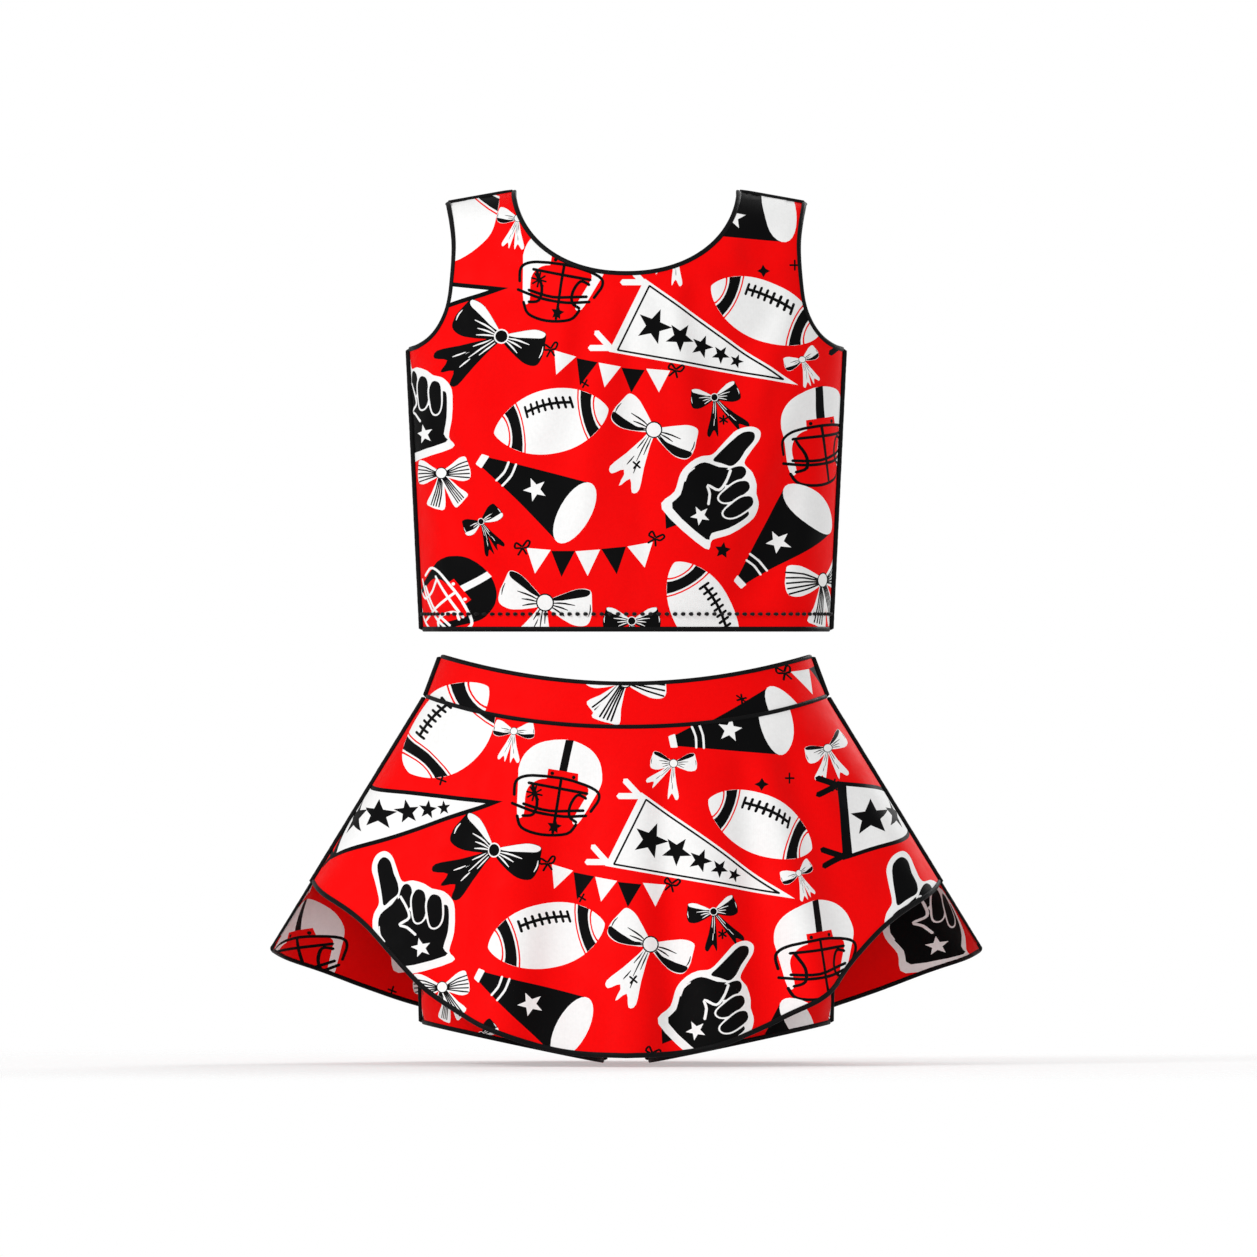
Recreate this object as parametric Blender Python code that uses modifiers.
"""Two-piece cheer uniform: a sleeveless cropped top and a skort (flared skirt sewn over shorts).

Frame: metres, +Z up, front of the uniform towards -Y, wearer's left at +X.
Origin: on the floor under the middle of the uniform, at the lowest point of the shorts' hems.
Every cloth piece is a thin open surface with Solidify; every bound edge or piped seam is a cord.
The uniform stands in the shape it takes on a child's body, with the top just above the waistband.

Angles called phi turn about the Z axis, from the front (0) through the wearer's left.
Places on a cloth piece are given by u and v, each from 0 to 1.
"""

import math

import bmesh
import bpy
from mathutils import Vector

FRONT, BACK = -1, 1                     # sign of y
SIDES = ((1, "left"), (-1, "right"))    # sign of x

# ---------------------------------------------------------------- cloth and cords
CLOTH = 0.0008              # thickness of the knit
CORD_R = 0.0014             # radius of the bound edges and piped seams
THIN_CORD_R = CORD_R * 0.9  # radius of the short straight pipings
CLEAR = 0.0006              # space between a cord and the cloth edge beside it
EDGE = CORD_R + CLEAR       # how far a cloth edge stops short of a cord's centre line

# ---------------------------------------------------------------- top
# armhole edge seen from the front, underarm to shoulder tip: half width, height
ARMHOLE = (
    (0.1410, 0.4663), (0.1359, 0.4679), (0.1286, 0.4726), (0.1224, 0.4798),
    (0.1177, 0.4891), (0.1151, 0.4985), (0.1136, 0.5109), (0.1126, 0.5244),
    (0.1125, 0.5358), (0.1139, 0.5482), (0.1164, 0.5613),
)
TOP_HEM_Z, TOP_HEM_HALF_WIDTH, TOP_HEM_HALF_DEPTH = 0.2840, 0.1323, 0.0750
CHEST_HALF_WIDTH, UNDERARM_Z = ARMHOLE[0]
CHEST_HALF_DEPTH = 0.0800
SHOULDER_IN_X, SHOULDER_IN_Z = 0.0735, 0.5690
SHOULDER_OUT_X, SHOULDER_OUT_Z = ARMHOLE[-1]
SHOULDER_REACH = 0.99935    # share of the height from underarm to shoulder that the cloth fills
NECK_HALF_WIDTH, NECK_HEIGHT, NECK_BOTTOM_Z, NECK_POWER = 0.0742, 0.0610, 0.5149, 2.15
NECK_CORD_DROP = 0.0002     # the neck's cord stays this far under the shoulder line
UNDERARM_CORD_INSET = 0.0002
SHOULDER_OVERLAP = 0.0002   # how far a shoulder piping runs on at each end
SIDE_OVERLAP = 0.0003       # how far a side piping runs on at each end
TAPE_SHORTER, TAPE_WIDTH, TAPE_THICKNESS, TAPE_DROP = 0.0020, 0.0090, 0.0006, 0.0029
TURN_UP_HEIGHT, TURN_UP_GAP = 0.0122, 0.0016
STITCH_Z, STITCH_R = 0.2938, 0.0004
STITCH_OUT_X, STITCH_OUT_Y = 0.0020, 0.0014     # how far the stitching lies outside the cloth

# mesh layout of a top panel
COLUMNS, LOW_ROWS, HIGH_ROWS = 20, 6, 11
SHOULDER_COLUMNS = 4        # columns across each shoulder
NECK_COLUMNS = COLUMNS // 2 - SHOULDER_COLUMNS  # columns from the middle to the neck corner
NECK_SPREAD = 1.42          # angle over which a sine spaces the neck columns
ROW_DROP = 0.0006           # the row that parts low from high is this far below the armhole's cloth
CORNER_DROP = 0.0011        # the neck corner is this far below the shoulder's inner end

# ---------------------------------------------------------------- skort
# the dip is how much lower a line runs at the middle front and back than at the sides
WAIST_Z, WAIST_DIP, WAIST_HALF_WIDTH, WAIST_HALF_DEPTH = 0.2400, 0.0195, 0.1300, 0.0800
BAND_Z, BAND_DIP, BAND_HALF_WIDTH, BAND_HALF_DEPTH = 0.2659, 0.0176, 0.1203, 0.0740
PANEL_SPAN = math.acos(EDGE / WAIST_HALF_DEPTH)     # phi from a panel's middle to its side edge
BAND_COLUMNS, BAND_RING_COLUMNS = 17, 40
BAND_PIPING_INSET = 0.0006
ELASTIC, ELASTIC_GAP = 0.0010, 0.0014
FACING_GAP = 0.0020         # cloth and elastic apart, how far inside the band the facing lies
LINING_LOW = EDGE + 0.0010  # elastic and facing start this far above the waist seam

# growth of half width and half depth per metre below the waist
FLARE_SIDE, FLARE_FRONT, FLARE_BACK = 0.612, 0.2990, 0.3122
# front hem seen from the front: half width, height; it climbs from the middle to the side seam
FRONT_HEM = (
    (0.0, 0.0081), (0.0322, 0.0094), (0.0552, 0.0135), (0.0781, 0.0212),
    (0.1011, 0.0311), (0.1318, 0.0495), (0.1533, 0.0725), (0.1717, 0.0917),
    (0.2040, 0.1193),
)
FRONT_END_X = 0.1968
SLOPE_STEP = 1e-4           # step in x for the front hem's slope
BACK_HEM_MID_Z, BACK_HEM_CURVE = 0.0180, 1.07
BACK_CORNER_X, BACK_CORD_END_INSET = 0.2308, 0.0004
BACK_SIDE_END_Z = 0.0775    # lowest point of the cord on the back petal's side edges
BACK_CLOTH_Y, BACK_CORD_Y = 0.0056, 0.0035      # the back petal's cloth and cord keep behind these
SEAM_END_Z = 0.1196         # side seams end here; below it the two petals hang free
FLAP_TOP_Z = 0.1190         # the petals' hinge line is between these two heights
HINGE_Y, HINGE_Z = 0.1185, 0.1192
SKIRT_COLUMNS, SKIRT_ROWS = 18, 5
# cloth edges along sloping cords stop short by EDGE times these
WAIST_CUT, FRONT_HEM_CUT, BACK_HEM_CUT, BACK_CORNER_CUT = 1.1, 1.15, 1.25, 1.2

# ---------------------------------------------------------------- shorts
SHORTS_HALF_WIDTH, SHORTS_HALF_DEPTH = 0.1335, 0.0790
HIP_HALF_WIDTH, HIP_HALF_DEPTH = 0.1340, 0.0840
SEAT_TOP_INSET, SEAT_TOP_DROP = 0.0030, 0.0024
SEAT_END_PHI = 0.005        # each half of the seat stops this angle short of the middle
# a leg swings about the wearer's hip, so the line between it and the seat is round that axis
HIP_AXIS_Z, SPLIT_R, SPLIT_GAP = 0.1500, 0.0955, 0.0013
SEAT_R = SPLIT_R - SPLIT_GAP
THIGH_X, THIGH_HALF_WIDTH, THIGH_HALF_DEPTH, THIGH_POWER = 0.0710, 0.0622, 0.0700, 2.5
LEG_IN_X, LEG_OUT_X, LEG_HALF_DEPTH = 0.0150, 0.1326, 0.0600
LEG_MIDDLE_X = (LEG_IN_X + LEG_OUT_X) / 2
LEG_HEM_Z, LEG_HEM_RISE = 0.0013, 0.0250
GUSSET_INSET = 0.0016       # gusset's distance inside the seat
GUSSET_SIDE_GAP = 0.0004
GUSSET_END_Y = (SHORTS_HALF_DEPTH - 0.0021) * 0.99


# ---------------------------------------------------------------- curves
def lerp(a, b, t):
    return a + (b - a) * t


def stations(start, end, steps):
    """Evenly spaced values, with both ends."""
    return [lerp(start, end, i / steps) for i in range(steps + 1)]


def eased(t):
    """0 to 1, closer spaced towards both ends."""
    return (1 - math.cos(math.pi * t)) / 2


def signed_power(value, power):
    return math.copysign(abs(value) ** power, value)


def superellipse(q, power):
    """Height of a unit superellipse at q."""
    return (1 - q**power) ** (1 / power)


def along(points, x):
    """The second number at x, on a smooth curve through points sorted by their first."""
    last = len(points) - 1
    i = 0
    while i < last - 1 and x > points[i + 1][0]:
        i += 1

    def slope(k):
        before, after = points[max(0, k - 1)], points[min(last, k + 1)]
        return (after[1] - before[1]) / (after[0] - before[0])

    (x0, y0), (x1, y1) = points[i], points[i + 1]
    width = x1 - x0
    t = min(1.0, max(0.0, (x - x0) / width))
    rise0, rise1 = slope(i) * width, slope(i + 1) * width
    return ((2 * t**3 - 3 * t**2 + 1) * y0 + (t**3 - 2 * t**2 + t) * rise0
            + (-2 * t**3 + 3 * t**2) * y1 + (t**3 - t**2) * rise1)


def offset_line(points, distance):
    """The line through points, moved to the left of its direction."""
    moved = []
    for i, (x, z) in enumerate(points):
        before = points[max(0, i - 1)]
        after = points[min(len(points) - 1, i + 1)]
        run, rise = after[0] - before[0], after[1] - before[1]
        length = math.hypot(run, rise)
        moved.append((x - rise / length * distance, z + run / length * distance))
    return moved


def evened(points, count, closed=False):
    """count points spaced evenly along a line."""
    line = [Vector(p) for p in points]
    if closed:
        line.append(line[0])
    run = [0.0]
    for p, q in zip(line, line[1:]):
        run.append(run[-1] + (q - p).length)
    steps = count if closed else count - 1
    even = []
    k = 0
    for i in range(count):
        want = run[-1] * i / steps
        while k < len(line) - 2 and run[k + 1] < want:
            k += 1
        t = (want - run[k]) / max(1e-9, run[k + 1] - run[k])
        even.append(line[k].lerp(line[k + 1], t))
    return even


def bisect(low, high, rounds, is_over):
    """The two sides of the place where is_over turns true."""
    for _ in range(rounds):
        middle = (low + high) / 2
        if is_over(middle):
            high = middle
        else:
            low = middle
    return low, high


def oval_point(half_width, half_depth, phi, z):
    return Vector((half_width * math.sin(phi), -half_depth * math.cos(phi), z))


def turn(place):
    """place(phi) at 240 angles round a full turn."""
    return [place(2 * math.pi * i / 240) for i in range(240)]


def front_to_ring(front):
    """A closed line from its front half, whose ends lie at y 0."""
    return front + [Vector((p.x, -p.y, p.z)) for p in reversed(front[1:-1])]


# ---------------------------------------------------------------- builders
def material(name, colour, roughness):
    mat = bpy.data.materials.new(name)
    mat.use_nodes = True
    shader = mat.node_tree.nodes["Principled BSDF"]
    shader.inputs["Base Color"].default_value = (*colour, 1)
    shader.inputs["Roughness"].default_value = roughness
    shader.inputs["Metallic"].default_value = 0.0
    return mat


def hinge_empty(name, place):
    empty = bpy.data.objects.new(name, None)
    empty.empty_display_size = 0.02
    empty.location = place
    uniform.objects.link(empty)
    return empty


def add_under(parent, name, data):
    """A new object that keeps its place in the world under its parent."""
    obj = bpy.data.objects.new(name, data)
    uniform.objects.link(obj)
    bpy.context.view_layer.update()
    obj.parent = parent
    obj.matrix_parent_inverse = parent.matrix_world.inverted()
    return obj


def mesh_from(bm, name, mat):
    mesh = bpy.data.meshes.new(name)
    bm.to_mesh(mesh)
    bm.free()
    mesh.materials.append(mat)
    return mesh


def radial(p):
    return Vector((p.x, p.y * 2, 0.0))


def sheet(name, parent, columns, rows, place, outward=radial, mat=None, thickness=CLOTH,
          ring=False):
    """A cloth piece: a grid laid over the surface place(u, v) and thickened inwards.

    outward(p) is a rough outward direction at p; a ring's first and last columns are joined.
    """
    bm = bmesh.new()
    bmesh.ops.create_grid(bm, x_segments=columns, y_segments=rows, size=0.5)
    for v in bm.verts:
        v.co = place(v.co.x + 0.5, v.co.y + 0.5)
    if ring:
        bmesh.ops.remove_doubles(bm, verts=bm.verts, dist=1e-5)
    bmesh.ops.recalc_face_normals(bm, faces=bm.faces)
    bm.normal_update()
    lean = sum(f.normal.dot(outward(f.calc_center_median())) * f.calc_area() for f in bm.faces)
    if lean < 0:
        bmesh.ops.reverse_faces(bm, faces=bm.faces)
    mesh = mesh_from(bm, name, mat or RED)
    mesh.shade_smooth()
    solid = add_under(parent, name, mesh).modifiers.new("thickness", "SOLIDIFY")
    solid.thickness = thickness
    solid.offset = -1
    solid.use_even_offset = True


def cord(name, parent, points, radius=CORD_R, closed=False, mat=None, resolution=1):
    """A bound edge or piped seam: a round cord along points."""
    curve = bpy.data.curves.new(name, "CURVE")
    curve.dimensions = "3D"
    curve.bevel_depth = radius
    curve.bevel_resolution = resolution
    curve.use_fill_caps = True
    spline = curve.splines.new("POLY")
    spline.points.add(len(points) - 1)
    for p, co in zip(spline.points, points):
        p.co = (*co, 1)
    spline.use_cyclic_u = closed
    curve.materials.append(mat or BLACK)
    add_under(parent, name, curve)


def ring_cord(name, parent, points, count, **options):
    cord(name, parent, evened(points, count, closed=True), closed=True, **options)


def straight_piping(name, parent, start, end):
    cord(name, parent, [start, start.lerp(end, 0.5), end], radius=THIN_CORD_R)


def side_piping(name, parent, side, size_at, z_start, z_end, steps):
    """A side seam down the cloth whose half width is the first number of size_at(z)."""
    heights = stations(z_start, z_end, steps)
    cord(name, parent, [Vector((side * (size_at(z)[0] - CLOTH / 2), 0, z)) for z in heights])


# ---------------------------------------------------------------- shape of the top
ARMHOLE_BY_Z = tuple((z, x) for x, z in ARMHOLE)
ARMHOLE_CLOTH_BY_Z = tuple((z, x) for x, z in offset_line(ARMHOLE, EDGE))
ARMHOLE_CLOTH_Z = ARMHOLE_CLOTH_BY_Z[0][0]
PARTING_Z = ARMHOLE_CLOTH_Z - ROW_DROP      # low rows of a panel end and high rows start here


def shoulder_z(x):
    x = max(abs(x), SHOULDER_IN_X)
    t = (x - SHOULDER_IN_X) / (SHOULDER_OUT_X - SHOULDER_IN_X)
    return lerp(SHOULDER_IN_Z, SHOULDER_OUT_Z, t)


def torso_size(z):
    """Half width and half depth of the top at height z."""
    t = min(1.0, max(0.0, (z - TOP_HEM_Z) / (UNDERARM_Z - TOP_HEM_Z)))
    return (lerp(TOP_HEM_HALF_WIDTH, CHEST_HALF_WIDTH, t),
            lerp(TOP_HEM_HALF_DEPTH, CHEST_HALF_DEPTH, t))


def torso_depth(x, z):
    """Half depth of the top at (x, z); it rounds over to nothing at the shoulder seam."""
    half_width, depth = torso_size(z)
    if z > UNDERARM_Z:
        t = min(1.0, (z - UNDERARM_Z) / (shoulder_z(x) - UNDERARM_Z))
        depth *= math.sqrt(max(0.0, 1 - t * t))
    return depth * math.sqrt(max(0.0, 1 - (x / half_width) ** 2))


def neck_z(x, grow=0.0):
    """Height of the neckline at x, or None outside it."""
    q = abs(x) / (NECK_HALF_WIDTH + grow)
    if q >= 1:
        return None
    return NECK_BOTTOM_Z + NECK_HEIGHT - (NECK_HEIGHT + grow) * superellipse(q, NECK_POWER)


def cloth_half_width(z):
    """Half width of a top panel's cloth, short of the side seam's or the armhole's cord."""
    half_width, half_depth = torso_size(z)
    side = half_width * math.sin(math.acos(EDGE / half_depth))
    if z < ARMHOLE_CLOTH_Z:
        return side
    return min(side, along(ARMHOLE_CLOTH_BY_Z, z))


def column_x(column, z):
    """Where a column of a top panel is at height z; columns run from -1 to 1."""
    half_width, _ = torso_size(z)
    edge = math.asin(min(1.0, cloth_half_width(z) / half_width))
    return half_width * math.sin(column * edge)


def column_top_z(column):
    """The end of a column: the neckline or the shoulder seam, whichever comes first."""
    def is_over(z):
        x = column_x(column, z)
        neck = neck_z(x, EDGE)
        shoulder = UNDERARM_Z + (shoulder_z(x) - UNDERARM_Z) * SHOULDER_REACH
        return (neck is not None and z > neck) or z > shoulder

    low, _ = bisect(UNDERARM_Z, SHOULDER_IN_Z + 0.002, 48, is_over)
    return low


def find_neck_corner():
    """The column where the neckline reaches the shoulder seam."""
    def is_over(column):
        z = column_top_z(column)
        return neck_z(column_x(column, z), EDGE) is None or z > SHOULDER_IN_Z - CORNER_DROP

    _, high = bisect(0.3, 0.95, 40, is_over)
    return high


def on_top(x, z):
    """A place on the front of the top, in the middle of the cloth."""
    return Vector((x, -max(0.0, torso_depth(x, z) - CLOTH / 2), z))


# ---------------------------------------------------------------- pieces of the top
def top_panel(name, face, corner):
    def place(u, v):
        k = round(u * COLUMNS) - COLUMNS // 2
        if abs(k) <= NECK_COLUMNS:
            column = corner * math.sin(k / NECK_COLUMNS * NECK_SPREAD) / math.sin(NECK_SPREAD)
        else:
            t = (abs(k) - NECK_COLUMNS) / SHOULDER_COLUMNS
            column = math.copysign(lerp(corner, 1.0, t), k)
        row = round(v * (LOW_ROWS + HIGH_ROWS))
        if row <= LOW_ROWS:
            z = lerp(TOP_HEM_Z + EDGE, PARTING_Z, row / LOW_ROWS)
        else:
            z = lerp(PARTING_Z, column_top_z(column), eased((row - LOW_ROWS) / HIGH_ROWS))
        x = column_x(column, z)
        return Vector((x, face * torso_depth(x, z), z))

    sheet(name, top_origin, COLUMNS, LOW_ROWS + HIGH_ROWS, place,
          outward=lambda p: Vector((p.x, p.y, 0.04)))


def neck_binding():
    front = []
    for angle in stations(-math.pi / 2, math.pi / 2, 40):
        x = SHOULDER_IN_X * signed_power(math.sin(angle), 0.9)
        front.append(on_top(x, min(neck_z(x), shoulder_z(x) - NECK_CORD_DROP)))
    front[0].y = front[-1].y = 0
    ring_cord("top_neck_binding", top_origin, front_to_ring(front), 44)


def armhole_binding(side, who):
    front = []
    for t in stations(0, 1, 32):
        z = lerp(UNDERARM_Z, SHOULDER_OUT_Z, eased(t))
        front.append(on_top(along(ARMHOLE_BY_Z, z), z))
    front[0] = Vector((CHEST_HALF_WIDTH - UNDERARM_CORD_INSET, 0, UNDERARM_Z))
    front[-1] = Vector((SHOULDER_OUT_X, 0, SHOULDER_OUT_Z - CLOTH / 2))
    ring = [Vector((side * p.x, p.y, p.z)) for p in front_to_ring(front)]
    ring_cord(f"top_{who}_armhole_binding", top_origin, ring, 36)


def shoulder_seam(side, who):
    """The shoulder's piping, and under it a flat stay tape that a hanger's arm bears on."""
    inset = 2 * EDGE - SHOULDER_OVERLAP
    start, end = (Vector((side * x, 0, shoulder_z(x) - CLOTH / 2))
                  for x in (SHOULDER_IN_X + inset, SHOULDER_OUT_X - inset))
    straight_piping(f"top_{who}_shoulder_piping", top_origin, start, end)

    bm = bmesh.new()
    bmesh.ops.create_cube(bm, size=1)
    length = (end - start).length - TAPE_SHORTER
    bmesh.ops.scale(bm, vec=(length, TAPE_WIDTH, TAPE_THICKNESS), verts=bm.verts)
    name = f"top_{who}_shoulder_stay_tape"
    tape = add_under(top_origin, name, mesh_from(bm, name, WHITE))
    slope = math.atan2(SHOULDER_IN_Z - SHOULDER_OUT_Z, SHOULDER_OUT_X - SHOULDER_IN_X)
    tape.rotation_euler = (0, side * slope, 0)
    below = Vector((side * math.sin(slope), 0, math.cos(slope))) * TAPE_DROP
    tape.location = (start + end) / 2 - below


def top_hem():
    """Hem binding, the line of stitching above it, and the cloth turned up inside."""
    def binding(phi):
        return oval_point(TOP_HEM_HALF_WIDTH - CLOTH / 2, TOP_HEM_HALF_DEPTH - CLOTH / 2,
                          phi, TOP_HEM_Z)

    def stitching(phi):
        half_width, half_depth = torso_size(STITCH_Z)
        return oval_point(half_width + STITCH_OUT_X, half_depth + STITCH_OUT_Y, phi, STITCH_Z)

    def turn_up(u, v):
        z = lerp(TOP_HEM_Z + EDGE, TOP_HEM_Z + TURN_UP_HEIGHT, v)
        half_width, half_depth = torso_size(z)
        inward = CLOTH + TURN_UP_GAP
        return oval_point(half_width - inward, half_depth - inward, 2 * math.pi * u, z)

    ring_cord("top_hem_binding", top_origin, turn(binding), 48)
    ring_cord("top_hem_stitching", top_origin, turn(stitching), 64, radius=STITCH_R,
              mat=THREAD, resolution=0)
    sheet("top_hem_turn_up", top_origin, 40, 1, turn_up, ring=True)


def build_top():
    corner = find_neck_corner()
    top_panel("top_front_panel", FRONT, corner)
    top_panel("top_back_panel", BACK, corner)
    neck_binding()
    for side, who in SIDES:
        armhole_binding(side, who)
        shoulder_seam(side, who)
        inset = 2 * EDGE - SIDE_OVERLAP
        side_piping(f"top_{who}_side_piping", top_origin, side, torso_size,
                    TOP_HEM_Z + inset, UNDERARM_Z - inset, 6)
    top_hem()


# ---------------------------------------------------------------- waistband
def skirt_size(z, face=FRONT):
    """Half width and half depth of the skirt at height z; a negative face is the front."""
    flare = FLARE_FRONT if face < 0 else FLARE_BACK
    drop = WAIST_Z - z
    return WAIST_HALF_WIDTH + FLARE_SIDE * drop, WAIST_HALF_DEPTH + flare * drop


def waist_seam_z(phi):
    return WAIST_Z - WAIST_DIP * math.cos(phi) ** 2


def seam_point(phi, inward=0.0):
    """A place on the waist seam."""
    z = waist_seam_z(phi)
    half_width, half_depth = skirt_size(z, -math.cos(phi))
    return oval_point(half_width - inward, half_depth - inward, phi, z)


def band_point(phi, t, inward=0.0):
    """A place on the waistband: t 0 at the waist seam, 1 at the top edge."""
    high = oval_point(BAND_HALF_WIDTH - inward, BAND_HALF_DEPTH - inward, phi,
                      BAND_Z - BAND_DIP * math.cos(phi) ** 2)
    return seam_point(phi, inward).lerp(high, t)


def band_height(phi):
    return (band_point(phi, 1) - band_point(phi, 0)).length


def band_sheet(name, columns, phi_start, phi_end, inward, low, high, **options):
    """A layer of the waistband, low above the waist seam and high below the top edge."""
    def place(u, v):
        phi = lerp(phi_start, phi_end, u)
        height = band_height(phi)
        return band_point(phi, lerp(low / height, 1 - high / height, v), inward)

    sheet(name, skort_origin, columns, 1, place, **options)


def build_waistband():
    for name, middle in (("waistband_front", 0), ("waistband_back", math.pi)):
        band_sheet(name, BAND_COLUMNS, middle - PANEL_SPAN, middle + PANEL_SPAN,
                   inward=0.0, low=EDGE, high=EDGE + 0.0002)
    band_sheet("waistband_elastic", BAND_RING_COLUMNS, 0, 2 * math.pi,
               inward=CLOTH + ELASTIC_GAP, low=LINING_LOW, high=EDGE + 0.0012,
               mat=WHITE, thickness=ELASTIC, ring=True)
    band_sheet("waistband_facing", BAND_RING_COLUMNS, 0, 2 * math.pi,
               inward=CLOTH + ELASTIC + FACING_GAP, low=LINING_LOW, high=EDGE + 0.0006,
               ring=True)
    top_edge = turn(lambda phi: band_point(phi, 1, CLOTH / 2 + BAND_PIPING_INSET))
    ring_cord("waistband_top_piping", skort_origin, top_edge, 48)
    waist_seam = turn(lambda phi: seam_point(phi, CLOTH / 2))
    ring_cord("waist_seam_piping", skort_origin, waist_seam, 48)
    for side, who in SIDES:
        phi = side * math.pi / 2
        margin = 2 * EDGE / band_height(phi)
        straight_piping(f"waistband_{who}_side_piping", skort_origin,
                        band_point(phi, margin, CLOTH / 2),
                        band_point(phi, 1 - margin, CLOTH / 2))


# ---------------------------------------------------------------- skirt
def front_hem_z(x):
    return along(FRONT_HEM, abs(x))


def back_hem_z(x):
    return BACK_HEM_MID_Z + BACK_HEM_CURVE * x * x


def skirt_point(angle, z, face):
    """A place on the skirt; the angle turns from the middle of the face towards +X."""
    half_width, half_depth = skirt_size(z, face)
    return Vector((half_width * math.sin(angle), face * half_depth * math.cos(angle), z))


def on_skirt(x, z, face, least_y=0.0):
    """A place in the middle of the skirt's cloth, at least least_y from the side plane."""
    half_width, half_depth = skirt_size(z, face)
    q = min(1.0, abs(x) / half_width)
    y = max(least_y, (half_depth - CLOTH / 2) * math.sqrt(1 - q * q))
    return Vector((math.copysign((half_width - CLOTH / 2) * q, x), face * y, z))


def skirt_panel(name, face):
    """The skirt from the waist seam to the hinge line."""
    def place(u, v):
        angle = lerp(-PANEL_SPAN, PANEL_SPAN, u)
        z = lerp(waist_seam_z(angle) - EDGE * WAIST_CUT, SEAM_END_Z, v)
        return skirt_point(angle, z, face)

    sheet(name, skort_origin, SKIRT_COLUMNS, SKIRT_ROWS, place)


def front_petal():
    """The free part of the front panel, from the hinge line to the hem's cord."""
    def place(u, v):
        x = FRONT_END_X * math.sin(lerp(-1, 1, u) * math.pi / 2)
        slope = (front_hem_z(abs(x) + SLOPE_STEP) - front_hem_z(x)) / SLOPE_STEP
        low_z = front_hem_z(x) + EDGE * FRONT_HEM_CUT * math.sqrt(1 + slope * slope)
        z = lerp(FLAP_TOP_Z, low_z, v)
        half_width, half_depth = skirt_size(z)
        return Vector((x, -half_depth * math.sqrt(1 - (x / half_width) ** 2), z))

    hinge = hinge_empty("front_petal_hinge", (0, -HINGE_Y, HINGE_Z))
    sheet("skirt_front_flap", hinge, SKIRT_COLUMNS, SKIRT_ROWS, place)
    hem = [on_skirt(x, front_hem_z(x), FRONT) for x in stations(-FRONT_END_X, FRONT_END_X, 80)]
    cord("skirt_front_hem_binding", hinge, evened(hem, 28))


def back_petal():
    """The free part of the back panel: straight side edges, then the curved hem."""
    def place(u, v):
        across = lerp(-1, 1, u)
        x_hem = (BACK_CORNER_X - EDGE * BACK_CORNER_CUT) * math.sin(across * math.pi / 2)
        z_hem = back_hem_z(x_hem) + EDGE * BACK_HEM_CUT
        top_angle = across * math.acos(BACK_CLOTH_Y / skirt_size(FLAP_TOP_Z, BACK)[1])
        half_width, half_depth = skirt_size(z_hem, BACK)
        hem_angle = min(math.acos(BACK_CLOTH_Y / half_depth),
                        math.asin(min(1.0, abs(x_hem) / half_width)))
        angle = lerp(top_angle, math.copysign(hem_angle, across), v)
        return skirt_point(angle, lerp(FLAP_TOP_Z, z_hem, v), BACK)

    hinge = hinge_empty("back_petal_hinge", (0, HINGE_Y, HINGE_Z))
    sheet("skirt_back_flap", hinge, SKIRT_COLUMNS, SKIRT_ROWS, place)
    left_edge = [on_skirt(skirt_size(z)[0], z, BACK, BACK_CORD_Y)
                 for z in stations(FLAP_TOP_Z - 0.0004, BACK_SIDE_END_Z, 8)]
    end_x = BACK_CORNER_X - BACK_CORD_END_INSET
    hem = [on_skirt(x, back_hem_z(x), BACK, BACK_CORD_Y) for x in stations(end_x, -end_x, 80)]
    right_edge = [Vector((-p.x, p.y, p.z)) for p in reversed(left_edge)]
    cord("skirt_back_hem_binding", hinge, evened(left_edge + hem + right_edge, 40))


def build_skirt():
    skirt_panel("skirt_front_panel", FRONT)
    skirt_panel("skirt_back_panel", BACK)
    for side, who in SIDES:
        side_piping(f"skirt_{who}_side_piping", skort_origin, side, skirt_size,
                    WAIST_Z - 2 * EDGE, SEAM_END_Z + 0.0004, 5)
    front_petal()
    back_petal()


# ---------------------------------------------------------------- shorts
def split_z(y, radius):
    """Height of a cylinder about the hip axis at depth y, on its lower side."""
    return HIP_AXIS_Z - math.sqrt(radius * radius - y * y)


def seat_point(phi, t):
    """The shorts above the legs: t 0 at the waist seam, 1 at the line where the legs begin."""
    top = seam_point(phi, SEAT_TOP_INSET)
    top.z -= SEAT_TOP_DROP
    low = oval_point(SHORTS_HALF_WIDTH, SHORTS_HALF_DEPTH, phi, 0)
    low.z = split_z(low.y, SEAT_R)
    hip = oval_point(HIP_HALF_WIDTH, HIP_HALF_DEPTH, phi, (top.z + low.z) / 2)
    # control point of the parabola that passes through the hip half way down
    control = hip * 2 - (top + low) * 0.5
    return top * (1 - t) ** 2 + control * 2 * t * (1 - t) + low * t * t


def leg_point(theta, t, side):
    """A place on a leg: t 0 at its top edge, 1 at its hem.

    theta turns from the front through the outer side.
    """
    sine, cosine = math.sin(theta), math.cos(theta)
    power = 2 / THIGH_POWER
    y = -THIGH_HALF_DEPTH * signed_power(cosine, power)
    x = THIGH_X + THIGH_HALF_WIDTH * signed_power(sine, power)
    top = Vector((x, y, split_z(y, SPLIT_R)))
    x = LEG_MIDDLE_X + (LEG_OUT_X - LEG_IN_X) / 2 * sine
    z = LEG_HEM_Z + LEG_HEM_RISE * (x - LEG_IN_X) / (LEG_OUT_X - LEG_IN_X) + EDGE
    p = top.lerp(Vector((x, -LEG_HALF_DEPTH * cosine, z)), t)
    return Vector((side * p.x, p.y, p.z))


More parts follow.
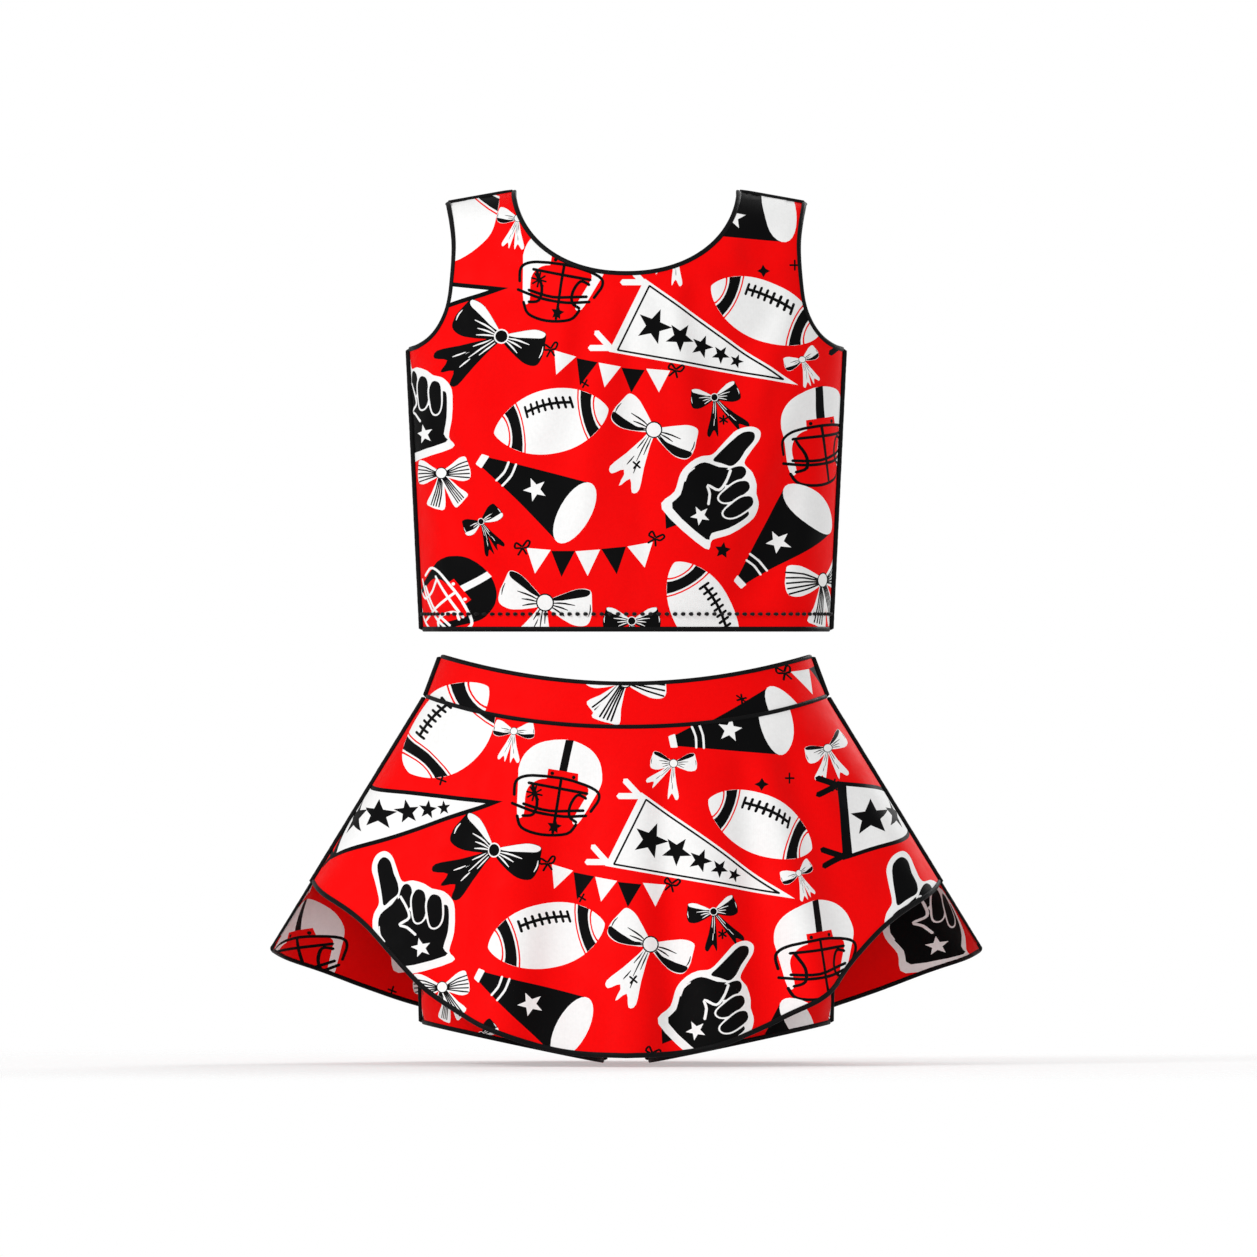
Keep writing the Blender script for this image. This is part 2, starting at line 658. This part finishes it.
def seat_half(side, who):
    def place(u, v):
        return seat_point(side * lerp(SEAT_END_PHI, math.pi - SEAT_END_PHI, u), v)

    sheet(f"shorts_{who}_panel", skort_origin, 20, 4, place)


def leg(side, who):
    def hem_cord(theta):
        p = leg_point(theta, 1.0, side)
        centre = Vector((side * LEG_MIDDLE_X, 0, p.z))
        p += (centre - p).normalized() * CLOTH / 2
        p.z -= EDGE
        return p

    hinge = hinge_empty(f"{who}_leg_hinge", (side * THIGH_X, 0, HIP_AXIS_Z))
    sheet(f"shorts_{who}_leg", hinge, 28, 3, lambda u, v: leg_point(2 * math.pi * u, v, side),
          outward=lambda p: Vector((p.x - side * THIGH_X, p.y, 0)), ring=True)
    ring_cord(f"shorts_{who}_leg_binding", hinge, turn(hem_cord), 32)


def thigh_in_x(y):
    """How near the middle a leg's top edge comes at depth y."""
    q = min(1.0, abs(y) / THIGH_HALF_DEPTH)
    return THIGH_X - THIGH_HALF_WIDTH * superellipse(q, THIGH_POWER)


def gusset():
    """The crotch piece: it bridges the two legs from the front of the seat to the back."""
    def place(u, v):
        y = GUSSET_END_Y * math.sin(lerp(-1, 1, u) * math.pi / 2)
        q = y / (SHORTS_HALF_DEPTH - GUSSET_INSET)
        seat_x = (SHORTS_HALF_WIDTH - GUSSET_INSET) * math.sqrt(1 - q * q)
        half_width = min(thigh_in_x(y), seat_x - GUSSET_SIDE_GAP)
        return Vector((lerp(-1, 1, v) * half_width, y, split_z(y, SEAT_R)))

    sheet("shorts_gusset", skort_origin, 24, 4, place, outward=lambda p: Vector((0, 0, -1)))


def build_shorts():
    for side, who in SIDES:
        seat_half(side, who)
        leg(side, who)
    gusset()


# ---------------------------------------------------------------- the uniform
for old in list(bpy.data.objects):
    bpy.data.objects.remove(old, do_unlink=True)
bpy.context.scene.unit_settings.system = "METRIC"
uniform = bpy.data.collections.new("cheer_uniform")
bpy.context.scene.collection.children.link(uniform)

RED = material("red_knit", colour=(0.85, 0.005, 0.008), roughness=0.75)
BLACK = material("black_binding", colour=(0.012, 0.012, 0.014), roughness=0.7)
WHITE = material("white_elastic", colour=(0.82, 0.82, 0.80), roughness=0.8)
THREAD = material("black_thread", colour=(0.02, 0.02, 0.022), roughness=0.5)

top_origin = hinge_empty("top_origin", (0, 0, TOP_HEM_Z))
skort_origin = hinge_empty("skort_origin", (0, 0, WAIST_Z))
build_top()
build_waistband()
build_skirt()
build_shorts()
